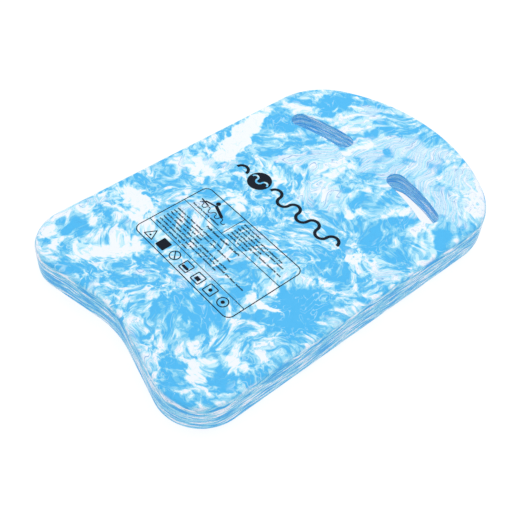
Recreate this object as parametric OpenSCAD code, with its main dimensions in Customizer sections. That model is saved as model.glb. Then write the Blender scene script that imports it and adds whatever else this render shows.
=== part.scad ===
// Kickboard float: one slab of marbled closed-cell foam with a rounded nose,
// a waisted tail between two round lobes, two curved hand slots and ink printing
// on its top face. Millimetres, +Z up, +Y towards the nose. The origin is the
// middle of the board's box, on its bottom face.

/* [Board] */
// overall length from the tail lobes to the nose tip
board_length = 440; // [400:1:480]
// overall width across the tail lobes
tail_width = 280; // [250:1:300]
// overall width where the shoulders begin
nose_width = 280; // [250:1:300]
// thickness of the foam slab
board_thickness = 35; // [28:1:45]

/* [Outline] */
// radius of the wide curve across the nose
nose_radius = 190; // [170:1:240]
// radius of each shoulder between the nose curve and a side
shoulder_radius = 78; // [60:1:100]
// distance of the widest shoulder point from the nose tip
shoulder_back = 154; // [140:1:170]
// radius of each tail lobe
lobe_radius = 46; // [38:1:54]
// depth of the tail hollow between the lobes
tail_hollow_depth = 17.5; // [10:0.5:26]
// radius of the tail hollow
tail_hollow_radius = 112; // [90:1:130]

/* [Edges] */
// rounding of the top and bottom outer edges
edge_radius = 6; // [3:0.5:10]
// rounding of the rims of the hand slots
slot_rim_radius = 1.5; // [1:0.5:4]

/* [Hand slots] */
// width of each hand slot between its walls
slot_width = 20; // [18:0.5:26]
// distance of the inner end of a slot from the centre line
slot_inner_end = 30; // [20:1:34]
// radius of the curve that a slot's centre line follows
slot_bend_radius = 188; // [160:1:230]
// distance of that curve's centre from the board's centre line
slot_bend_side = 27; // [20:1:34]
// distance of that curve's highest point from the nose tip
slot_nose_distance = 95; // [84:1:100]
// angle that a slot's centre line turns through, end cap to end cap
slot_sweep = 17.4; // [16:0.2:22]
// how much further out a slot's walls lie at the underside than at the top
slot_flare = 12; // [0:0.5:14]

/* [Printing] */
// depth of the ink, which lies flush in the top face
ink_depth = 0.2; // [0.1:0.05:0.4]
// width of the label's frame
label_width = 147; // [130:1:160]
// height of the label's frame, along the board
label_height = 93; // [86:1:100]
// corner radius of the label's frame
label_corner = 8; // [4:0.5:12]
// width of the frame's line
frame_line = 1; // [0.6:0.1:2]
// width of the dividing lines inside the frame
divider_line = 0.7; // [0.4:0.1:1.5]
// distance of the label's top edge from the middle of the board
label_top_drop = 35.5; // [30:0.5:45]
// sideways shift of the label from the centre line
label_shift = -1.5; // [-6:0.5:6]
// height of the label's top band
top_band = 30.5; // [26:0.5:34]
// height of the label's bottom band
bottom_band = 20; // [17:0.5:22]
// share of the label's width taken by the cell with the swimmer
picture_share = 0.41; // [0.36:0.01:0.46]

/* [Label rows] */
// height of one bar in the small rows
row_bar = 1.3; // [0.8:0.1:1.8]
// height of the bars in the heading row
heading_bar = 2; // [1.4:0.1:2.6]
// distance between the small rows
row_pitch = 4.4; // [3.8:0.1:4.6]
// length of the shortest bar
short_bar = 4.5; // [3:0.5:6]
// added length from one bar length to the next longer one
bar_step = 2.6; // [1:0.2:3]
// gap between two bars in a row
bar_gap = 2; // [1.5:0.1:3]

/* [Symbols] */
// height of each symbol in the label's bottom band
symbol_size = 12; // [9:0.5:13]
// width of the symbols' lines
symbol_line = 1.1; // [0.7:0.1:1.5]
// distance between neighbouring symbols
symbol_pitch = 18.2; // [16:0.2:19]

/* [Emblem] */
// radius of the emblem's disc
emblem_radius = 13; // [9:0.5:15]
// distance of the disc's centre from the board's centre line
emblem_side = 48; // [46:1:52]
// distance of the emblem's middle line from the board's middle
emblem_rise = 11; // [6:1:18]
// width of the emblem's wave strokes
wave_stroke = 3.4; // [2:0.2:4]
// radius of each half wave, to the middle of its stroke
wave_radius = 7; // [5:0.2:7]
// gap between the disc and a wave
wave_gap = 3; // [1:0.5:5]
// number of half waves to the right of the disc
half_waves = 7; // [4:1:7]

/* [Hidden] */
$fn = 96;
cut_margin = 1;
half_length = board_length / 2;
top_z = board_thickness;

// side line: a straight edge from the lobes' height to the shoulders' height
side_low = [tail_width / 2, -half_length + lobe_radius];
side_high = [nose_width / 2, half_length - shoulder_back];
side_run = side_high - side_low;
side_dir = side_run / norm(side_run);
side_out = [side_dir.y, -side_dir.x];
side_angle = atan2(side_out.y, side_out.x);

// nose and shoulder curves touch each other, and the shoulder touches the side
nose_centre = [0, half_length - nose_radius];
shoulder_base = side_high - side_out * shoulder_radius - nose_centre;
shoulder_along = shoulder_base * side_dir;
shoulder_gap = nose_radius - shoulder_radius;
shoulder_slide = sqrt(shoulder_along ^ 2 - shoulder_base * shoulder_base + shoulder_gap ^ 2)
    - shoulder_along;
shoulder_centre = nose_centre + shoulder_base + side_dir * shoulder_slide;
join_vector = shoulder_centre - nose_centre;
join_angle = atan2(join_vector.y, join_vector.x);

// lobe: touches the side line and the tail's end line
lobe_base = side_low - side_out * lobe_radius;
lobe_slide = (-half_length + lobe_radius - lobe_base.y) / side_dir.y;
lobe_centre = lobe_base + side_dir * lobe_slide;

// tail hollow: a straight flank touches the lobe and the hollow's curve
hollow_centre = [0, -half_length + tail_hollow_depth - tail_hollow_radius];
hollow_vector = hollow_centre - lobe_centre;
hollow_distance = norm(hollow_vector);
flank_turn = acos((lobe_radius + tail_hollow_radius) / hollow_distance);
flank_angle = atan2(hollow_vector.y, hollow_vector.x) + flank_turn;
flank_out = [cos(flank_angle), sin(flank_angle)];
flank_start = lobe_centre + flank_out * lobe_radius;
flank_end = hollow_centre - flank_out * tail_hollow_radius;
flank_length = norm(flank_end - flank_start);
hollow_angle = flank_angle + 180;

// longest piece of outline between two points, and steps in a rounded rim
outline_step = 6;
rim_steps = 6;

function from(centre, angle, distance) =
    centre + distance * [cos(angle), sin(angle)];

// --- foam board -------------------------------------------------------------

// points along a curve moved inwards by inset, leaving out the first and last
// few where the neighbouring curve already has them
function curve(centre, radius, inset, start, end, skip_first = 0, skip_last = 0) =
    let (steps = ceil(abs(end - start) * PI / 180 * radius / outline_step))
    [for (i = [skip_first:steps - skip_last])
        from(centre, start + (end - start) * i / steps, radius - inset)];

// right-hand half of the outline, from the nose tip to the middle of the tail
function right_outline(inset) = concat(
    curve(nose_centre, nose_radius, inset, 90, join_angle),
    curve(shoulder_centre, shoulder_radius, inset, join_angle, side_angle, 1),
    curve(lobe_centre, lobe_radius, inset, side_angle, flank_angle),
    curve(hollow_centre, tail_hollow_radius, -inset, hollow_angle, 90)
);

// whole outline, clockwise from the nose tip when seen from above
function outline(inset) =
    let (right = right_outline(inset))
    concat(right, [for (i = [len(right) - 2:-1:1]) [-right[i].x, right[i].y]]);

// levels of a skin with two rounded rims: distance sideways, and height
function rim_levels(radius) = concat(
    [for (i = [0:rim_steps])
        [radius * (1 - sin(90 * i / rim_steps)), radius * (1 - cos(90 * i / rim_steps))]],
    [for (i = [0:rim_steps])
        [radius * (1 - cos(90 * i / rim_steps)),
         board_thickness - radius * (1 - sin(90 * i / rim_steps))]]
);

function at_height(points, z) = [for (p = points) [p.x, p.y, z]];

// closed skin over rings of points, from the lowest ring to the highest. Each
// ring runs clockwise seen from above, from a point that sees all the others.
module skin(rings) {
    around = len(rings[0]);
    last_ring = (len(rings) - 1) * around;
    bottom = concat([0], [for (i = [around - 1:-1:1]) i]);
    top = [for (i = [0:around - 1]) last_ring + i];
    wall = [for (k = [0:around:last_ring - 1]) for (i = [0:around - 1])
        let (j = (i + 1) % around)
        [k + i, k + j, k + around + j, k + around + i]];
    polyhedron(points = [for (ring = rings) each ring], faces = concat([bottom, top], wall));
}

// slab with its outer edges rounded
module slab() {
    skin([for (level = rim_levels(edge_radius)) at_height(outline(level[0]), level[1])]);
}

// --- hand slots -------------------------------------------------------------

slot_bend_centre = [slot_bend_side, half_length - slot_nose_distance - slot_bend_radius];
slot_half = slot_width / 2;
slot_start = asin((slot_inner_end + slot_half - slot_bend_side) / slot_bend_radius);

slot_first_angle = 90 - slot_start;
slot_last_angle = slot_first_angle - slot_sweep;

slot_middle_angle = slot_first_angle - slot_sweep / 2;
slot_inner_centre = from(slot_bend_centre, slot_first_angle, slot_bend_radius);
slot_outer_centre = from(slot_bend_centre, slot_last_angle, slot_bend_radius);

// outline of the right-hand slot widened by a distance, clockwise seen from
// above, from the middle of its nose side
function slot_outline(widen) = concat(
    curve(slot_bend_centre, slot_bend_radius + slot_half, -widen,
          slot_middle_angle, slot_last_angle),
    curve(slot_outer_centre, slot_half, -widen,
          slot_last_angle, slot_last_angle - 180, 1),
    curve(slot_bend_centre, slot_bend_radius - slot_half, widen,
          slot_last_angle, slot_first_angle, 1),
    curve(slot_inner_centre, slot_half, -widen,
          slot_first_angle + 180, slot_first_angle, 1),
    curve(slot_bend_centre, slot_bend_radius + slot_half, -widen,
          slot_first_angle, slot_middle_angle, 1, 1)
);

// widening of a slot at a height, from none at the top to all of it at the underside
function flare_at(height) = slot_flare * (1 - height / board_thickness);

// the volume cut away for the right-hand slot, with sloping walls and rounded rims
module right_slot() {
    below = at_height(slot_outline(slot_rim_radius + slot_flare), -cut_margin);
    above = at_height(slot_outline(slot_rim_radius), board_thickness + cut_margin);
    between = [for (level = rim_levels(slot_rim_radius))
        at_height(slot_outline(level[0] + flare_at(level[1])), level[1])];
    skin(concat([below], between, [above]));
}

// repeats a shape on both sides of the board's centre line
module both_sides() {
    children();
    mirror([1, 0, 0])
        children();
}

// --- printing ---------------------------------------------------------------

label_left = label_shift - label_width / 2;
label_right = label_shift + label_width / 2;
label_top = -label_top_drop;
label_bottom = label_top - label_height;
band_line = label_top - top_band;
symbol_band_line = label_bottom + bottom_band;
picture_right = label_left + label_width * picture_share;

// thickens a flat drawing downwards from the top face, by the ink's depth
module sunk() {
    translate([0, 0, top_z - ink_depth])
        linear_extrude(height = ink_depth)
            children();
}

module ink() {
    color([0.05, 0.06, 0.09])
        sunk()
            children();
}

module rounded_box(size, corner) {
    translate([corner, 0])
        square([size.x - 2 * corner, size.y]);
    translate([0, corner])
        square([size.x, size.y - 2 * corner]);
    for (x = [corner, size.x - corner])
        for (y = [corner, size.y - corner])
            translate([x, y])
                circle(r = corner);
}

module box_ring(size, corner, line) {
    difference() {
        rounded_box(size, corner);
        translate([line, line])
            rounded_box(size - [2 * line, 2 * line], corner - line);
    }
}

// stroke with round ends between two points
module stroke(a, b, line) {
    run = b - a;
    heading = atan2(run.y, run.x);
    polygon(concat(
        [for (turn = [-90:15:90]) from(b, heading + turn, line / 2)],
        [for (turn = [90:15:270]) from(a, heading + turn, line / 2)]
    ));
}

module frame_drawing() {
    translate([label_left, label_bottom])
        box_ring([label_width, label_height], label_corner, frame_line);
    for (y = [band_line, symbol_band_line])
        translate([label_left + frame_line / 2, y - divider_line / 2])
            square([label_width - frame_line, divider_line]);
    translate([picture_right - divider_line / 2, band_line])
        square([divider_line, top_band - frame_line / 2]);
}

// one row of bars of mixed lengths, standing for a line of small print
function bar_length(i) = short_bar + bar_step * ((i * 5 + 2) % 4);
function bar_start(i, first) =
    i <= 0 ? 0 : bar_start(i - 1, first) + bar_length(first + i - 1) + bar_gap;

module bar_row(left, y, bars, first, height) {
    for (i = [0:bars - 1])
        translate([left + bar_start(i, first), y - height / 2])
            square([bar_length(first + i), height]);
}

module rows_drawing() {
    margin = 5;
    text_left = picture_right + margin;
    body_left = label_left + margin + 1;
    upper = [2, 6, 7, 4, 7, 3];
    lower = [7, 9, 5, 9, 12, 9, 5];
    heading_bars = 5;
    for (r = [0:len(upper) - 1])
        bar_row(text_left, label_top - 5.2 - r * row_pitch * 0.95, upper[r], r, row_bar);
    for (r = [0:len(lower) - 1])
        bar_row(body_left, band_line - 12 - r * row_pitch, lower[r], r + 1, row_bar);
    bar_row(label_shift - label_width * 0.2, band_line - 5, heading_bars, 3, heading_bar);
    bar_row(label_left + margin * 2, band_line + 4.5, 4, 2, row_bar);
}

// swimmer on a board: a head, a body, an arm and the water line
module swimmer_drawing() {
    centre = [(label_left + picture_right) / 2, band_line + top_band * 0.55];
    head = 2.6;
    translate(centre) {
        translate([-3, 6])
            circle(r = head);
        stroke([-1, 2], [13, -3], 3.4);
        stroke([-2, 2], [-14, -1], 1.8);
        stroke([-19, -2], [-8, -3.4], 1.6);
        for (i = [0:3])
            translate([-15 + i * 10, -6.4])
                wave_pair(2.5, 0.9);
    }
}

// one crest and one trough of a wave stroke
module wave_pair(radius, line) {
    half_ring(radius, line);
    translate([2 * radius, 0])
        rotate(180)
            half_ring(radius, line);
}

module half_ring(radius, line) {
    difference() {
        circle(r = radius + line / 2);
        circle(r = radius - line / 2);
        translate([-radius - line, -radius - line])
            square([2 * (radius + line), radius + line]);
    }
}

module square_symbol() {
    translate([-symbol_size / 2, -symbol_size / 2])
        box_ring([symbol_size, symbol_size], symbol_line * 1.4, symbol_line);
}

module ring_symbol() {
    difference() {
        circle(d = symbol_size);
        circle(d = symbol_size - 2 * symbol_line);
    }
}

module triangle_symbol() {
    half = symbol_size / 2;
    foot = -half + symbol_line / 2;
    corners = [[-half, foot], [half, foot], [0, -foot]];
    for (i = [0:2])
        stroke(corners[i], corners[(i + 1) % 3], symbol_line);
    translate([0, -half * 0.4])
        circle(d = symbol_line * 2);
}

module symbols_drawing() {
    row_y = (label_bottom + symbol_band_line) / 2;
    quarter = symbol_size / 4;
    for (i = [-3:3])
        translate([label_shift + i * symbol_pitch, row_y]) {
            if (i == -3)
                triangle_symbol();
            if (i == -2)
                translate([-symbol_size / 2, -symbol_size / 2])
                    rounded_box([symbol_size, symbol_size], symbol_line);
            if (i == -1 || i == 3)
                ring_symbol();
            if (i >= 0 && i < 3)
                square_symbol();
            if (i == -1)
                stroke([-quarter, quarter], [quarter, -quarter], symbol_line);
            if (i == 0)
                stroke([-quarter, -quarter / 2], [quarter, -quarter / 2], quarter);
            if (i == 1)
                translate([-quarter, -quarter])
                    square([2 * quarter, quarter * 1.4]);
            if (i >= 2)
                circle(d = symbol_size / 3);
        }
}

// plain round badge with a wave through it, and a bold wave on each side of it
module emblem_drawing() {
    reach = emblem_radius + wave_gap + wave_radius + wave_stroke / 2;
    translate([-emblem_side, emblem_rise]) {
        difference() {
            circle(r = emblem_radius);
            for (i = [-1:1])
                translate([i * emblem_radius / 2 * 1.1, 0])
                    rotate(i == 0 ? 180 : 0)
                        half_ring(emblem_radius * 0.275, emblem_radius * 0.16);
        }
        translate([-reach, -wave_radius / 2])
            half_ring(wave_radius, wave_stroke);
        for (i = [0:half_waves - 1])
            translate([reach + i * 2 * wave_radius, 0])
                rotate(i % 2 == 0 ? 0 : 180)
                    half_ring(wave_radius, wave_stroke);
    }
}

// --- nodes ------------------------------------------------------------------

// the flat part of the top face that holds all the printing
bed_margin = 4;
bed_left = min(label_left, -emblem_side - emblem_radius - wave_gap - 2 * wave_radius - wave_stroke)
    - bed_margin;
bed_right = label_right + bed_margin;
bed_low = label_bottom - bed_margin;
bed_high = emblem_rise + emblem_radius + bed_margin;

module printing_bed() {
    translate([bed_left, bed_low])
        square([bed_right - bed_left, bed_high - bed_low]);
}

// the foam's top layer around the ink, as deep as the ink
module foam_between_ink() {
    sunk()
        difference() {
            printing_bed();
            emblem_drawing();
            frame_drawing();
            rows_drawing();
            swimmer_drawing();
            symbols_drawing();
        }
}

module foam_board() {
    color([0.55, 0.82, 0.96]) {
        difference() {
            slab();
            both_sides()
                right_slot();
            translate([0, 0, top_z - ink_depth])
                linear_extrude(height = ink_depth + cut_margin)
                    printing_bed();
        }
        foam_between_ink();
    }
}

module printed_emblem() {
    ink()
        emblem_drawing();
}

module printed_frame() {
    ink()
        frame_drawing();
}

module printed_rows() {
    ink()
        rows_drawing();
}

module printed_swimmer() {
    ink()
        swimmer_drawing();
}

module printed_symbols() {
    ink()
        symbols_drawing();
}

foam_board();
printed_emblem();
printed_frame();
printed_rows();
printed_swimmer();
printed_symbols();
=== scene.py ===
"""Looks of the kickboard float: a marbled foam slab with black printing on its top face."""
import math
import random

import bmesh
import bpy
from mathutils import Matrix, Vector
from mathutils.geometry import delaunay_2d_cdt


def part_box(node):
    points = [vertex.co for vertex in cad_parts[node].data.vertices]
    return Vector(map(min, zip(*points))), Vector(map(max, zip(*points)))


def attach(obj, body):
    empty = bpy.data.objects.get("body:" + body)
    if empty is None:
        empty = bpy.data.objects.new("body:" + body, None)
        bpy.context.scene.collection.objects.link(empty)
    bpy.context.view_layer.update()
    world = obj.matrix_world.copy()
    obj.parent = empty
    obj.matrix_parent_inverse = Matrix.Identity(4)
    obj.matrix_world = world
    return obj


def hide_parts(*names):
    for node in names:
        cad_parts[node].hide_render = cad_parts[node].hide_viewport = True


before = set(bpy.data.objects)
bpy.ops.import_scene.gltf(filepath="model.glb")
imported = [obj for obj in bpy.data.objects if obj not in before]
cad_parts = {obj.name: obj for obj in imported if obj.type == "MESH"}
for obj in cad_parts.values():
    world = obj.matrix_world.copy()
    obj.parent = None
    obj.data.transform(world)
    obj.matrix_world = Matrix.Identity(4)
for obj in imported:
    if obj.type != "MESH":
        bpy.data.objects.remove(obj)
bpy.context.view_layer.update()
random.seed(11)

MM = 0.001
BOARD_LOW, BOARD_HIGH = (Vector(v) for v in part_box("foam_board"))
LENGTH = BOARD_HIGH.y - BOARD_LOW.y
WIDTH = BOARD_HIGH.x - BOARD_LOW.x
THICK = BOARD_HIGH.z - BOARD_LOW.z
HALF_LENGTH = LENGTH / 2
TOP = BOARD_HIGH.z

# outline of the slab, in metres
NOSE_RADIUS = 190 * MM
SHOULDER_RADIUS = 78 * MM
LOBE_RADIUS = 46 * MM
HOLLOW_DEPTH = 17.5 * MM
HOLLOW_RADIUS = 112 * MM
EDGE_RADIUS = 6 * MM
RIM_RADIUS = 1.5 * MM
SLOT_HALF = 10 * MM
SLOT_BEND_RADIUS = 188 * MM
SLOT_BEND_SIDE = 27 * MM  # the centre of that bend, sideways from the board's centre line
SLOT_NOSE_DISTANCE = 95 * MM  # from the nose to the slot's centre line
SLOT_BEND_CENTRE = Vector((SLOT_BEND_SIDE, HALF_LENGTH - (SLOT_NOSE_DISTANCE + SLOT_BEND_RADIUS)))
SLOT_INNER_END = 30 * MM
SLOT_FLARE = 12 * MM  # how much further out a slot's walls lie at the underside
SLOT_SWEEP = math.radians(17.4)

# the label's rows, laid out as the CAD bars are, with letters a little taller than the bars
LABEL_WIDTH = 147 * MM
LABEL_SHIFT = -1.5 * MM
LABEL_TOP_DROP = 35.5 * MM
TOP_BAND = 30.5 * MM
PICTURE_SHARE = 0.41
ROW_PITCH = 4.4 * MM
ROW_BAR = 1.9 * MM
HEADING_BAR = 2.4 * MM
SHORT_BAR = 4.5 * MM
BAR_STEP = 2.6 * MM
BAR_GAP = 2 * MM
TICK_WIDTH = 0.75 * MM
TICK_GAP = 0.26 * MM
WORD_STRETCH = 0.8 * MM  # each word of ticks is this much longer than its bar
TICK_DEPTH = 0.2 * MM

OUTLINE_STEP = 3 * MM  # longest piece of outline between two points
RIM_STEPS = 8  # steps in each rounded rim
WALL_STEPS = 5  # steps up the wall between the rims
INK_RELIEF = 0.1 * MM  # the ink's top stands this far above the foam
FOAM_TOP = THICK - INK_RELIEF
GRID_STEP = 5 * MM  # spacing of the points inside the flat faces
ROW_SHARE = 0.87  # distance between rows of those points, as a share of their spacing
RIM_CLEARANCE = GRID_STEP * 0.55  # least distance of those points from a rim
WELD = 1e-7


def at(centre, angle, distance):
    return centre + Vector((math.cos(angle), math.sin(angle))) * distance


def curve(centre, radius, inset, start, end, skip_first=0, skip_last=0):
    """Points along a curve moved inwards by inset."""
    steps = math.ceil(abs(end - start) * radius / OUTLINE_STEP)
    return [
        at(centre, start + (end - start) * i / steps, radius - inset)
        for i in range(skip_first, steps + 1 - skip_last)
    ]


def straight(a, b):
    """Points strictly between a and b."""
    steps = math.ceil((b - a).length / OUTLINE_STEP)
    return [a.lerp(b, i / steps) for i in range(1, steps)]


def outline_parts():
    """Centres and angles of the curves that make the board's outline."""
    nose = Vector((0, HALF_LENGTH - NOSE_RADIUS))
    half = WIDTH / 2
    shoulder_x = half - SHOULDER_RADIUS
    reach = NOSE_RADIUS - SHOULDER_RADIUS
    shoulder = Vector((shoulder_x, nose.y + math.sqrt(reach**2 - shoulder_x**2)))
    join = math.atan2(shoulder.y - nose.y, shoulder.x - nose.x)
    lobe = Vector((half - LOBE_RADIUS, -HALF_LENGTH + LOBE_RADIUS))
    hollow = Vector((0, -HALF_LENGTH + HOLLOW_DEPTH - HOLLOW_RADIUS))
    gap = hollow - lobe
    turn = math.acos((LOBE_RADIUS + HOLLOW_RADIUS) / gap.length)
    flank = math.atan2(gap.y, gap.x) + turn
    return nose, shoulder, join, lobe, hollow, flank


def board_outline(inset):
    """Outline of the slab, clockwise from the nose tip when seen from above."""
    nose, shoulder, join, lobe, hollow, flank = outline_parts()
    nose_part = curve(nose, NOSE_RADIUS, inset, math.pi / 2, join)
    shoulder_part = curve(shoulder, SHOULDER_RADIUS, inset, join, 0, 1)
    lobe_part = curve(lobe, LOBE_RADIUS, inset, 0, flank)
    hollow_part = curve(hollow, HOLLOW_RADIUS, -inset, flank + math.pi, math.pi / 2)
    right = (
        nose_part + shoulder_part
        + straight(shoulder_part[-1], lobe_part[0]) + lobe_part
        + straight(lobe_part[-1], hollow_part[0]) + hollow_part
    )
    return right + [Vector((-p.x, p.y)) for p in right[-2:0:-1]]


def slot_outline(widen, side):
    """Outline of one hand slot; side is 1 for the right-hand one, -1 for the left."""
    start = math.asin((SLOT_INNER_END + SLOT_HALF - SLOT_BEND_CENTRE.x) / SLOT_BEND_RADIUS)
    first = math.pi / 2 - start
    last = first - SLOT_SWEEP
    outer, inner = SLOT_BEND_RADIUS + SLOT_HALF, SLOT_BEND_RADIUS - SLOT_HALF
    first_end = at(SLOT_BEND_CENTRE, first, SLOT_BEND_RADIUS)
    last_end = at(SLOT_BEND_CENTRE, last, SLOT_BEND_RADIUS)
    points = (
        curve(SLOT_BEND_CENTRE, outer, -widen, first, last)
        + curve(last_end, SLOT_HALF, -widen, last, last - math.pi, 1)
        + curve(SLOT_BEND_CENTRE, inner, widen, last, first, 1)
        + curve(first_end, SLOT_HALF, -widen, first + math.pi, first, 1, 1)
    )
    return [Vector((side * p.x, p.y)) for p in points]


def rim_levels(radius):
    """Levels of a wall with two rounded rims: distance sideways, and height."""
    turns = [math.pi / 2 * i / RIM_STEPS for i in range(RIM_STEPS + 1)]
    low = [(radius * (1 - math.sin(t)), radius * (1 - math.cos(t))) for t in turns]
    high = [(radius * (1 - math.cos(t)), FOAM_TOP - radius * (1 - math.sin(t))) for t in turns]
    (_, z0), (_, z1) = low[-1], high[0]
    wall = [(0, z0 + (z1 - z0) * i / WALL_STEPS) for i in range(1, WALL_STEPS)]
    return low + wall + high


def inside(point, loop):
    """Is a point inside a closed loop of points?"""
    hit = False
    for a, b in zip(loop, loop[1:] + loop[:1]):
        if (a.y > point.y) != (b.y > point.y):
            if point.x < a.x + (b.x - a.x) * (point.y - a.y) / (b.y - a.y):
                hit = not hit
    return hit


def distance_to(point, loop):
    return min((point - p).length for p in loop)


def flat_face(loops):
    """Triangles that fill the first loop outside the others, with a grid of points."""
    points, edges = [], []
    for loop in loops:
        base = len(points)
        points += loop
        edges += [(base + i, base + (i + 1) % len(loop)) for i in range(len(loop))]
    rim_count = len(points)
    rows = int(LENGTH / GRID_STEP)
    columns = int(WIDTH / GRID_STEP)
    for r in range(-rows // 2, rows // 2 + 1):
        for c in range(-columns // 2, columns // 2 + 1):
            p = Vector(((c + 0.5 * (r % 2)) * GRID_STEP, r * GRID_STEP * ROW_SHARE))
            if not inside(p, loops[0]) or any(inside(p, hole) for hole in loops[1:]):
                continue
            if min(distance_to(p, loop) for loop in loops) > RIM_CLEARANCE:
                points.append(p)
    made = delaunay_2d_cdt(points, edges, [], 0, WELD)
    verts, faces, origins = made[0], made[2], made[3]
    keep = []
    for face in faces:
        middle = (verts[face[0]] + verts[face[1]] + verts[face[2]]) / 3
        if inside(middle, loops[0]) and not any(inside(middle, h) for h in loops[1:]):
            keep.append([origins[i][0] for i in face])
    return points, keep, rim_count


def mesh_object(name, mesh_maker, material, smooth=True):
    """New object of the root body from a function that fills a bmesh."""
    bm = bmesh.new()
    mesh_maker(bm)
    bmesh.ops.recalc_face_normals(bm, faces=bm.faces)
    mesh = bpy.data.meshes.new(name)
    bm.to_mesh(mesh)
    bm.free()
    for polygon in mesh.polygons:
        polygon.use_smooth = smooth
    mesh.materials.append(material)
    made = bpy.data.objects.new(name, mesh)
    bpy.context.scene.collection.objects.link(made)
    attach(made, "root")
    return made


def fill_board(bm):
    """The slab: one skin up the outside, one through each slot, two flat faces."""
    walls = [(board_outline, EDGE_RADIUS, 0)]
    walls += [(lambda widen, s=side: slot_outline(widen, s), RIM_RADIUS, SLOT_FLARE)
              for side in (1, -1)]
    rims = {"low": [], "high": []}
    for shape, radius, flare in walls:
        rings = []
        for distance, z in rim_levels(radius):
            outline = shape(distance + flare * (1 - z / FOAM_TOP))
            ring = [bm.verts.new((p.x, p.y, z)) for p in outline]
            rings.append(ring)
        for a, b in zip(rings, rings[1:]):
            for i in range(len(a)):
                j = (i + 1) % len(a)
                bm.faces.new((a[i], a[j], b[j], b[i]))
        rims["low"].append(rings[0])
        rims["high"].append(rings[-1])
    for which, z in (("low", 0.0), ("high", FOAM_TOP)):
        loops = [[Vector((v.co.x, v.co.y)) for v in ring] for ring in rims[which]]
        points, triangles, rim_count = flat_face(loops)
        verts = [v for ring in rims[which] for v in ring]
        verts += [bm.verts.new((p.x, p.y, z)) for p in points[rim_count:]]
        for triangle in triangles:
            bm.faces.new([verts[i] for i in triangle])


class Graph:
    """Builds a material's node tree with short calls."""

    def __init__(self, name):
        self.material = bpy.data.materials.new(name)
        self.material.use_nodes = True
        self.tree = self.material.node_tree
        self.tree.nodes.clear()

    def node(self, kind, **settings):
        made = self.tree.nodes.new(kind)
        for key, value in settings.items():
            setattr(made, key, value)
        return made

    def plug(self, socket, value):
        if isinstance(value, bpy.types.NodeSocket):
            self.tree.links.new(value, socket)
        elif value is not None:
            socket.default_value = value

    def math(self, operation, *values, clamp=False):
        made = self.node("ShaderNodeMath", operation=operation, use_clamp=clamp)
        for socket, value in zip(made.inputs, values):
            self.plug(socket, value)
        return made.outputs[0]

    def vector(self, operation, *values, scale=None):
        made = self.node("ShaderNodeVectorMath", operation=operation)
        for socket, value in zip(made.inputs, values):
            self.plug(socket, value)
        if scale is not None:
            self.plug(made.inputs["Scale"], scale)
        return made.outputs["Value" if operation in ("LENGTH", "DISTANCE") else "Vector"]

    def scaled(self, where, factors):
        return self.vector("MULTIPLY", where, factors)

    def about(self, value, middle, gain):
        """A value's distance from a middle value, times a gain."""
        return self.math("MULTIPLY", self.math("SUBTRACT", value, middle), gain)

    def split(self, where):
        made = self.node("ShaderNodeSeparateXYZ")
        self.plug(made.inputs[0], where)
        return made.outputs

    def noise(self, where, scale, detail=2.0, rough=0.5, colour=False):
        made = self.node("ShaderNodeTexNoise")
        self.plug(made.inputs["Vector"], where)
        made.inputs["Scale"].default_value = scale
        made.inputs["Detail"].default_value = detail
        made.inputs["Roughness"].default_value = rough
        return made.outputs["Color" if colour else "Fac"]

    def swirl(self, where, scale, amount, detail=1.0):
        """Moves a place sideways by smooth noise, as kneading moves foam."""
        push = self.noise(where, scale, detail, 0.5, colour=True)
        centred = self.vector("SUBTRACT", push, (0.5, 0.5, 0.5))
        return self.vector("ADD", where, self.vector("SCALE", centred, scale=amount))

    def remap(self, value, low, high, to_low=0.0, to_high=1.0, kind="SMOOTHSTEP"):
        made = self.node("ShaderNodeMapRange", interpolation_type=kind)
        for key, number in (("From Min", low), ("From Max", high), ("To Min", to_low),
                            ("To Max", to_high)):
            made.inputs[key].default_value = number
        self.plug(made.inputs["Value"], value)
        return made.outputs[0]

    def ramp(self, value, stops):
        made = self.node("ShaderNodeValToRGB")
        elements = made.color_ramp.elements
        while len(elements) < len(stops):
            elements.new(0.5)
        for element, (place, colour) in zip(elements, stops):
            element.position = place
            element.color = (*colour, 1)
        self.plug(made.inputs[0], value)
        return made.outputs[0]

    def float_mix(self, share, a, b):
        made = self.node("ShaderNodeMix", data_type="FLOAT")
        for socket, value in zip((made.inputs[0], made.inputs[2], made.inputs[3]), (share, a, b)):
            self.plug(socket, value)
        return made.outputs[0]

    def mix(self, share, a, b, blend="MIX"):
        made = self.node("ShaderNodeMix", data_type="RGBA", blend_type=blend)
        self.plug(made.inputs[0], share)
        for socket, value in ((made.inputs[6], a), (made.inputs[7], b)):
            self.plug(socket, (*value, 1) if isinstance(value, tuple) else value)
        return made.outputs[2]


# colours of the foam
SKY_BLUE = (0.070, 0.475, 0.87)
DEEP_PALE = (0.145, 0.55, 0.855)
PALE_BLUE = (0.30, 0.68, 0.905)
MILK_BLUE = (0.56, 0.845, 0.965)
SOFT_WHITE = (0.865, 0.905, 0.975)
VEIN_BLUE = (0.075, 0.36, 0.70)
SIDE_BLUE = (0.07, 0.42, 0.86)
SIDE_WHITE = (0.88, 0.90, 1.0)
# painted shade: a dark blue mixed into the side's lowest few millimetres, as shade where the rim
# turns under
PAINTED_RIM_SHADE = (0.13, 0.19, 0.40)
RIM_LOW, RIM_HIGH = 0.8 * MM, 3.2 * MM  # heights between which the painted shade on the lower rim fades
TONES = [SKY_BLUE, DEEP_PALE, PALE_BLUE, MILK_BLUE, SOFT_WHITE]
SIDE_TONES = [SIDE_BLUE, DEEP_PALE, PALE_BLUE, MILK_BLUE, SIDE_WHITE]
# where one tone gives way to the next
FACE_STEPS = [0.437, 0.500, 0.566, 0.640]
SIDE_STEPS = [0.455, 0.495, 0.535, 0.580]
LAYER_STRETCH = (2.8, 2.8, 36.0)  # the layers are thin upwards and long sideways
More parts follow.
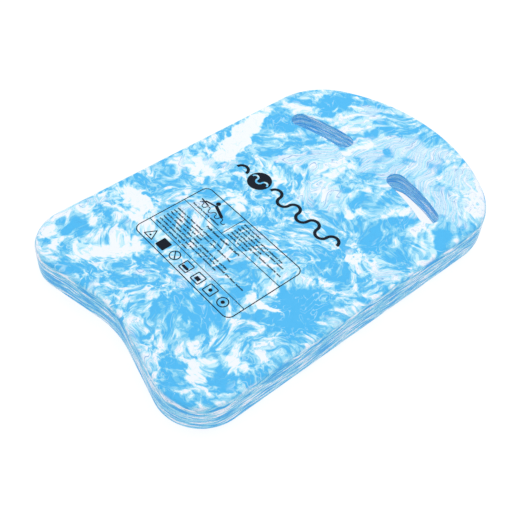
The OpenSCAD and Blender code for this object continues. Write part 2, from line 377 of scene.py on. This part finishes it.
# the slots' walls carry painted shade, a shift towards the darker blue tones; they lie between these
# distances, over which the painted shade fades
SLOT_BAND_LOW = (85 * MM, 93 * MM)
SLOT_BAND_HIGH = (152 * MM, 160 * MM)
SLOT_BAND_SIDE = (124 * MM, 130 * MM)
TONE_BLEND = 0.006  # half the width of the blend between two tones
MEAN_LEVEL = 0.507
DRAWN_STOPS = [
    (0.0, PALE_BLUE), (0.16, MILK_BLUE), (0.42, SOFT_WHITE),
    (0.62, SOFT_WHITE), (0.80, MILK_BLUE), (1.0, PALE_BLUE),
]


def tone_stops(steps, tones):
    """Colour ramp in steps, so that each tone keeps an area of its own."""
    stops = [(0.0, tones[0])]
    for before, after, step in zip(tones, tones[1:], steps):
        stops += [(step - TONE_BLEND, before), (step + TONE_BLEND, after)]
    return stops


# Patches of one colour that stand out of the marbling on the top face, listed one by one:
# centre x, y, half width, half height, turn in degrees, and strength (white is positive).
# Lengths in millimetres.
PATCHES = [
    (-94, 162, 14, 26, 14, -1.4),
    (-84, 197, 11, 5, 30, -1.0),
    (-112, 92, 8, 14, -12, -0.5),
    (-104, 122, 14, 10, 0, 0.5),
    (-122, 62, 12, 40, 20, 1.7),
    (-106, 22, 11, 26, 24, 1.2),
    (-70, 176, 10, 7, 0, 0.8),
    (-22, 132, 7, 22, -18, 0.6),
    (-12, 88, 8, 30, -22, 0.5),
    (76, 96, 11, 8, 10, 1.0),
    (120, 84, 14, 30, 0, -0.5),
    (34, 76, 9, 16, 10, -0.7),
    (46, 58, 5, 11, 0, 0.8),
    (90, 16, 5, 11, 5, 0.9),
    (78, -8, 16, 10, -30, -0.6),
    (104, -68, 23, 27, 14, -1.3),
    (-48, 26, 20, 14, 0, 0.7),
    (-46, -26, 22, 9, 0, 0.6),
    (44, -24, 18, 9, 0, -0.5),
    (98, 34, 16, 14, 0, -0.5),
    (-60, -118, 40, 8, 0, 0.8),
    (44, -150, 30, 26, 0, -0.8),
    (74, -74, 8, 5, 40, 0.9),
    (84, -90, 20, 3, 14, 1.5),
    (-108, -100, 22, 9, 5, 1.2),
    (-100, -24, 14, 10, 0, 0.6),
    (-88, 64, 10, 14, -20, 0.5),
    (-106, -112, 30, 22, 0, 0.5),
    (-108, -20, 26, 22, 0, 0.4),
    (-112, -155, 15, 7, -10, 0.9),
    (-62, -156, 16, 22, -10, 1.2),
    (-76, -182, 20, 9, 20, 1.1),
    (-112, -196, 18, 7, -25, 0.8),
    (6, -168, 20, 16, 10, -0.4),
    (112, -156, 14, 9, 25, 0.8),
    (98, -180, 9, 12, 0, 0.8),
    (76, -194, 8, 7, 0, -0.8),
    (128, -176, 5, 10, 0, -0.9),
]
NOSE_PART = (10 * MM, 90 * MM)  # over these distances the marbling turns into the nose's streaks
PATCH_FADE = (8 * MM, 26 * MM)  # heights over which the patches fade in, towards the top
FLOW_LINES = 13.0  # how many lines the drawn-out parts have, over the flow's whole range
PATCH_UNIT = 100  # patches are given in millimetres, and the marbling works in units of 100 mm
FACE_UNITS = (10.0, 10.0, 10.0)  # turns metres into units of 100 mm
PATCH_EDGE = 0.3  # share of a patch's size over which it fades out
FAN_TIP = (0.1, 2.9)  # where the long streaks of the nose would meet, in units of 100 mm
FAN_TURN, FAN_REACH = 16.0, 2.0  # fineness of those streaks across and along
MIST_PATCHES = [
    (-34, 100, 13, 70, -24, 1.0),
    (60, 170, 52, 26, -30, 0.8),
    (10, 140, 30, 40, 0, 0.9),
    (-118, 122, 12, 14, 0, 0.9),
    (-112, -22, 20, 17, 30, 1.0),
    (100, 120, 30, 34, 20, 0.7),
    (-46, 186, 22, 16, 20, 0.8),
]


def patch_field(g, place, patches):
    """Sum of listed patches at a place given in units of 100 mm."""
    total = 0.0
    for x, y, half_x, half_y, turn, strength in patches:
        shift = g.vector("SUBTRACT", place, (x / PATCH_UNIT, y / PATCH_UNIT, 0))
        spin = g.node("ShaderNodeVectorRotate", rotation_type="Z_AXIS")
        g.plug(spin.inputs["Vector"], shift)
        spin.inputs["Angle"].default_value = -math.radians(turn)
        sized = g.scaled(spin.outputs[0], (PATCH_UNIT / half_x, PATCH_UNIT / half_y, 0))
        reach = g.vector("LENGTH", sized)
        part = g.remap(reach, 1 - PATCH_EDGE, 1 + PATCH_EDGE, strength, 0.0)
        total = g.math("ADD", total, part)
    return total


def fan_place(g, place):
    """Place measured across and along streaks that spread from the nose."""
    from_tip = g.vector("SUBTRACT", place, (*FAN_TIP, 0))
    x, y, _ = g.split(from_tip)
    turn = g.math("ARCTAN2", x, g.math("MULTIPLY", y, -1.0))
    reach = g.vector("LENGTH", from_tip)
    join = g.node("ShaderNodeCombineXYZ")
    g.plug(join.inputs[0], g.math("MULTIPLY", turn, FAN_TURN))
    g.plug(join.inputs[1], g.math("MULTIPLY", reach, FAN_REACH))
    return join.outputs[0]


def contour(g, field, count, width):
    """Thin lines where a smooth field passes evenly spaced values."""
    step = g.math("FRACT", g.math("MULTIPLY", field, count))
    return g.remap(g.math("ABSOLUTE", g.math("SUBTRACT", step, 0.5)), 0.0, width, 1.0, 0.0)


def torn_and_combed(g, small, fanned, upper):
    """Torn flecks in the tail half, combed into streaks towards the nose."""
    coarse = g.noise(small, scale=7.5, detail=2.0)
    crumbs = g.noise(small, scale=19.0, detail=3.0, rough=0.55)
    flecks = g.float_mix(0.36, coarse, crumbs)
    streaks = g.noise(g.scaled(small, (3.6, 6.0, 1.0)), scale=1.5, detail=4.0, rough=0.55)
    bent = g.swirl(g.scaled(fanned, (1.0, 0.6, 1.0)), scale=1.6, amount=0.4)
    fan = g.noise(bent, scale=0.85, detail=2.5)
    torn = g.float_mix(0.20, flecks, streaks)
    combed = g.float_mix(0.50, flecks, fan)
    return g.float_mix(upper, torn, combed)


def stepped_tones(g, fine, wide, patches):
    """The foam's tones from fine marbling, a slow drift and the hand-placed patches."""
    drift = g.noise(wide, scale=1.7, detail=2.0)
    level = g.math("ADD", g.about(fine, middle=0.5, gain=1.9),
                   g.about(drift, middle=0.5, gain=0.32))
    level = g.math("ADD", level, g.math("MULTIPLY", patches, 0.20))
    level = g.math("ADD", level, MEAN_LEVEL)
    return g.ramp(level, tone_stops(FACE_STEPS, TONES))


def pale_threads(g, small, middle, colour):
    """Adds thin pale threads that curl through the blue."""
    curl = g.noise(small, scale=4.6, detail=1.5)
    broken = g.remap(g.noise(middle, scale=5.5), 0.42, 0.62)
    thread = g.math("MULTIPLY", contour(g, curl, 9.0, 0.11), broken)
    return g.mix(g.math("MULTIPLY", thread, 0.6), colour, MILK_BLUE)


def marble_colour(g, coords):
    """Colour of the kneaded foam at a place in the board, in metres."""
    place = g.scaled(coords, FACE_UNITS)
    flat = g.scaled(place, (1.0, 1.0, 0.0))
    _, along, height = g.split(coords)
    upper = g.remap(along, *NOSE_PART)
    near_top = g.remap(height, *PATCH_FADE)

    # places pushed about by smooth noise, more and more finely
    wide = g.swirl(place, scale=1.1, amount=0.8)
    middle = g.swirl(wide, scale=3.4, amount=0.30)
    small = g.swirl(middle, scale=9.0, amount=0.13)
    small = g.swirl(small, scale=22.0, amount=0.035)
    ragged = g.swirl(flat, scale=4.0, amount=0.26, detail=2.0)
    ragged = g.swirl(ragged, scale=14.0, amount=0.12, detail=3.0)
    bent = g.swirl(g.swirl(flat, scale=1.5, amount=0.45), scale=5.0, amount=0.16)
    fanned = fan_place(g, bent)

    fine = torn_and_combed(g, small, fanned, upper)
    patches = g.math("MULTIPLY", patch_field(g, ragged, PATCHES), near_top)
    colour = stepped_tones(g, fine, wide, patches)
    colour = pale_threads(g, small, middle, colour)

    # the flow, along which the drawn-out parts and the thin lines run
    slow_turn = g.noise(g.scaled(middle, (1.6, 2.6, 1.0)), scale=1.5, detail=1.5)
    slow_fan = g.noise(g.scaled(fanned, (1.0, 0.2, 1.0)), scale=0.7, detail=1.5)
    flow = g.float_mix(upper, slow_turn, slow_fan)
    between = g.remap(g.math("ABSOLUTE", patches), 0.25, 0.6, 1.0, 0.0)

    # parts where the two colours are drawn out into fine pale lines
    mist = g.math("ADD", patch_field(g, ragged, MIST_PATCHES),
                  g.about(g.noise(wide, scale=2.6), middle=0.56, gain=5.0))
    mist = g.math("MULTIPLY", g.remap(mist, 0.15, 0.75), between)
    wave = g.math("FRACT", g.math("MULTIPLY", flow, FLOW_LINES))
    drawn = g.ramp(g.math("ADD", wave, g.about(fine, middle=0.5, gain=1.2)), DRAWN_STOPS)
    colour = g.mix(g.math("MULTIPLY", mist, 0.85), colour, drawn)

    # thin darker lines along the flow and round the flecks
    along_flow = g.math("MULTIPLY", contour(g, flow, FLOW_LINES, 0.09),
                        g.remap(mist, 0.1, 0.6, 0.12, 0.75))
    round_flecks = g.math("MULTIPLY", contour(g, fine, 12.0, 0.10), 0.48)
    line = g.math("MULTIPLY", g.math("MAXIMUM", along_flow, round_flecks), between)
    return g.mix(line, colour, VEIN_BLUE)


def side_colour(g, coords):
    """Colour of the side walls, where the cut shows the pressed layers edge on, with painted shade
    darkening the lowest rim.
    """
    across, along, height = g.split(coords)
    drift = g.swirl(g.scaled(coords, FACE_UNITS), scale=1.2, amount=0.14)
    waver = g.swirl(drift, scale=4.5, amount=0.05, detail=2.0)
    level = g.noise(g.scaled(waver, LAYER_STRETCH), scale=1.25, detail=5.0, rough=0.62)
    # painted shade: the slots' walls are pushed towards the darker blue tones, as shade inside the
    # slots
    slot_shade = g.math("MULTIPLY", g.remap(along, *SLOT_BAND_LOW),
                     g.remap(along, *SLOT_BAND_HIGH, 1.0, 0.0))
    slot_shade = g.math("MULTIPLY", slot_shade,
                     g.remap(g.math("ABSOLUTE", across), *SLOT_BAND_SIDE, 1.0, 0.0))
    level = g.math("SUBTRACT", level, g.math("MULTIPLY", slot_shade, 0.02))
    colour = g.ramp(level, tone_stops(SIDE_STEPS, SIDE_TONES))
    line = g.math("MULTIPLY", contour(g, level, 8.0, 0.18), 0.85)
    colour = g.mix(line, colour, VEIN_BLUE)
    # painted shade: the side darkens towards its lower rim, as shade where it turns under
    painted_shade = g.remap(height, RIM_LOW, RIM_HIGH, 0.85, 0.0)
    return g.mix(painted_shade, colour, PAINTED_RIM_SHADE)


def marbled_foam():
    """Blue and white closed-cell foam kneaded together, pressed flat and sliced."""
    g = Graph("kneaded_foam")
    texture = g.node("ShaderNodeTexCoord")
    coords = texture.outputs["Object"]
    _, _, upwards = g.split(texture.outputs["Normal"])
    side = g.remap(g.math("ABSOLUTE", upwards), 0.55, 0.95, 1.0, 0.0)
    colour = g.mix(side, marble_colour(g, coords), side_colour(g, coords))
    shader = g.node("ShaderNodeBsdfPrincipled")
    g.plug(shader.inputs["Base Color"], colour)
    cells = g.noise(coords, 1400.0, 2.0, 0.6)
    g.plug(shader.inputs["Roughness"], g.remap(g.noise(coords, 60.0, 3.0), 0.3, 0.7, 0.46, 0.6))
    shader.inputs["Specular IOR Level"].default_value = 0.2
    bump = g.node("ShaderNodeBump")
    bump.inputs["Strength"].default_value = 0.12
    bump.inputs["Distance"].default_value = 0.0004
    g.plug(bump.inputs["Height"], cells)
    g.plug(shader.inputs["Normal"], bump.outputs[0])
    g.plug(g.node("ShaderNodeOutputMaterial").inputs[0], shader.outputs[0])
    return g.material


INK_TONES = [(0.3, (0.001, 0.004, 0.012)), (0.75, (0.004, 0.010, 0.022))]


def printing_ink():
    """Matt black screen-printing ink with a faint grain."""
    g = Graph("printing_ink")
    coords = g.node("ShaderNodeTexCoord").outputs["Object"]
    grain = g.noise(coords, 900.0, 3.0, 0.6)
    shader = g.node("ShaderNodeBsdfPrincipled")
    g.plug(shader.inputs["Base Color"], g.ramp(grain, INK_TONES))
    shader.inputs["Specular IOR Level"].default_value = 0.12
    g.plug(shader.inputs["Roughness"], g.remap(grain, 0.3, 0.7, 0.5, 0.7))
    bump = g.node("ShaderNodeBump")
    bump.inputs["Strength"].default_value = 0.1
    bump.inputs["Distance"].default_value = 0.0002
    g.plug(bump.inputs["Height"], grain)
    g.plug(shader.inputs["Normal"], bump.outputs[0])
    g.plug(g.node("ShaderNodeOutputMaterial").inputs[0], shader.outputs[0])
    return g.material


FLOOR_TONES = [(0.0, (0.20, 0.20, 0.20)), (1.0, (0.21, 0.21, 0.21))]
FLOOR_DROP = 0.2 * MM  # the table top lies this far below the board
FLOOR_HALF = 6.0
FLOOR_GLOW = 0.86
SKY_GLOW = 0.75
KEY_POWER = 22
KEY_SIZE = 2.2
KEY_PLACE = (-0.5, 0.6, 2.2)


def pale_floor():
    """White acrylic table top, lit from below as for catalogue pictures."""
    g = Graph("pale_floor")
    coords = g.node("ShaderNodeTexCoord").outputs["Object"]
    shader = g.node("ShaderNodeBsdfPrincipled")
    g.plug(shader.inputs["Base Color"], g.ramp(g.noise(coords, 3.0), FLOOR_TONES))
    shader.inputs["Roughness"].default_value = 0.9
    shader.inputs["Specular IOR Level"].default_value = 0.0
    shader.inputs["Emission Color"].default_value = (1, 1, 1, 1)
    shader.inputs["Emission Strength"].default_value = FLOOR_GLOW
    g.plug(g.node("ShaderNodeOutputMaterial").inputs[0], shader.outputs[0])
    return g.material


def make_board():
    board = mesh_object("marbled_board", fill_board, marbled_foam())
    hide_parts("foam_board")
    return board


def dress_prints(ink):
    """The flat printing keeps its CAD shapes and takes the ink material."""
    for name in ("printed_emblem", "printed_frame", "printed_swimmer", "printed_symbols"):
        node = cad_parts[name]
        node.data.materials.clear()
        node.data.materials.append(ink)


def bar_length(i):
    """Length of the i-th bar of a row, in a repeating mix of four lengths."""
    return SHORT_BAR + BAR_STEP * ((i * 5 + 2) % 4)


def add_tick(bm, left, low, width, height):
    """A small closed block of ink, sunk a little into the foam."""
    corners = [(left, low), (left + width, low), (left + width, low + height), (left, low + height)]
    bottom = [bm.verts.new((x, y, TOP - TICK_DEPTH)) for x, y in corners]
    top = [bm.verts.new((x, y, TOP)) for x, y in corners]
    bm.faces.new(bottom[::-1])
    bm.faces.new(top)
    for i in range(4):
        j = (i + 1) % 4
        bm.faces.new((bottom[i], bottom[j], top[j], top[i]))


def add_row(bm, left, middle, bars, first, height):
    """A row of bars, each broken into ticks of mixed widths and heights."""
    for i in range(bars):
        length = bar_length(first + i) + WORD_STRETCH
        x = left
        while x < left + length - TICK_WIDTH / 2:
            width = min(random.uniform(0.6, 1.5) * TICK_WIDTH, left + length - x)
            share = random.choice((0.72, 0.72, 0.8, 1.0))
            low = middle - height / 2
            if random.random() < 0.12:
                low += height * 0.3
                share = min(share, 0.7)
            add_tick(bm, x, low, width, height * share)
            x += width + TICK_GAP
        left += bar_length(first + i) + BAR_GAP


def fill_rows(bm):
    """The warning column, the product lines, the heading and the line under the picture."""
    label_left = LABEL_SHIFT - LABEL_WIDTH / 2
    label_top = -LABEL_TOP_DROP
    band_line = label_top - TOP_BAND
    picture_right = label_left + LABEL_WIDTH * PICTURE_SHARE
    margin = 5 * MM
    for row, bars in enumerate((2, 6, 7, 4, 7, 3)):
        middle = label_top - 5.2 * MM - row * ROW_PITCH * 0.95
        add_row(bm, picture_right + margin, middle, bars, row, ROW_BAR)
    for row, bars in enumerate((7, 9, 5, 9, 12, 9, 5)):
        middle = band_line - 12 * MM - row * ROW_PITCH
        add_row(bm, label_left + margin + MM, middle, bars, row + 1, ROW_BAR)
    add_row(bm, LABEL_SHIFT - LABEL_WIDTH * 0.2, band_line - 5 * MM, 5, 3, HEADING_BAR)
    add_row(bm, label_left + margin * 2, band_line + 4.5 * MM, 4, 2, ROW_BAR)


def make_rows(ink):
    """Rows of ticks that stand for small print and say nothing."""
    rows = mesh_object("greeked_rows", fill_rows, ink, smooth=False)
    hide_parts("printed_rows")


def make_floor():
    bm = bmesh.new()
    bmesh.ops.create_grid(bm, x_segments=8, y_segments=8, size=FLOOR_HALF)
    mesh = bpy.data.meshes.new("floor")
    bm.to_mesh(mesh)
    bm.free()
    mesh.materials.append(pale_floor())
    floor = bpy.data.objects.new("floor", mesh)
    floor.location.z = -FLOOR_DROP
    bpy.context.scene.collection.objects.link(floor)


def area_light(name, place, target, size, power):
    light = bpy.data.lights.new(name, "AREA")
    light.shape = "DISK"
    light.size = size
    light.energy = power
    made = bpy.data.objects.new(name, light)
    made.location = place
    made.rotation_mode = "QUATERNION"
    made.rotation_quaternion = (Vector(target) - Vector(place)).to_track_quat("-Z", "Y")
    bpy.context.scene.collection.objects.link(made)


def make_lights():
    """Even light from all round, and one large soft light overhead."""
    world = bpy.data.worlds.new("studio")
    world.use_nodes = True
    background = world.node_tree.nodes["Background"]
    background.inputs[0].default_value = (1, 1, 1, 1)
    background.inputs[1].default_value = SKY_GLOW
    bpy.context.scene.world = world
    area_light("key", KEY_PLACE, (0, 0, 0), KEY_SIZE, KEY_POWER)
    bpy.context.scene.view_settings.view_transform = "Standard"


# camera angles in degrees, distances in metres
CAMERA_TURN = 47.27
CAMERA_RISE = 48.64
CAMERA_ROLL = 3.225
CAMERA_DISTANCE = 0.8483
CAMERA_TARGET = Vector((0.01263, -0.03806, 0))
FOCAL_SHARE = 843.24 / 520  # focal length over picture width
SENSOR = 36.0


def make_camera():
    turn, rise, roll = (math.radians(a) for a in (CAMERA_TURN, CAMERA_RISE, CAMERA_ROLL))
    back = Vector((math.sin(turn) * math.cos(rise), -math.cos(turn) * math.cos(rise), math.sin(rise)))
    right = (-back).cross(Vector((0, 0, 1))).normalized()
    up = right.cross(-back)
    rolled_right = right * math.cos(roll) + up * math.sin(roll)
    rolled_up = up * math.cos(roll) - right * math.sin(roll)
    data = bpy.data.cameras.new("camera")
    data.sensor_width = SENSOR
    data.lens = SENSOR * FOCAL_SHARE
    camera = bpy.data.objects.new("camera", data)
    turned = Matrix((rolled_right, rolled_up, back)).transposed().to_4x4()
    camera.matrix_world = Matrix.Translation(CAMERA_TARGET + back * CAMERA_DISTANCE) @ turned
    bpy.context.scene.collection.objects.link(camera)
    bpy.context.scene.camera = camera


make_board()
INK = printing_ink()
dress_prints(INK)
make_rows(INK)
make_floor()
make_lights()
make_camera()
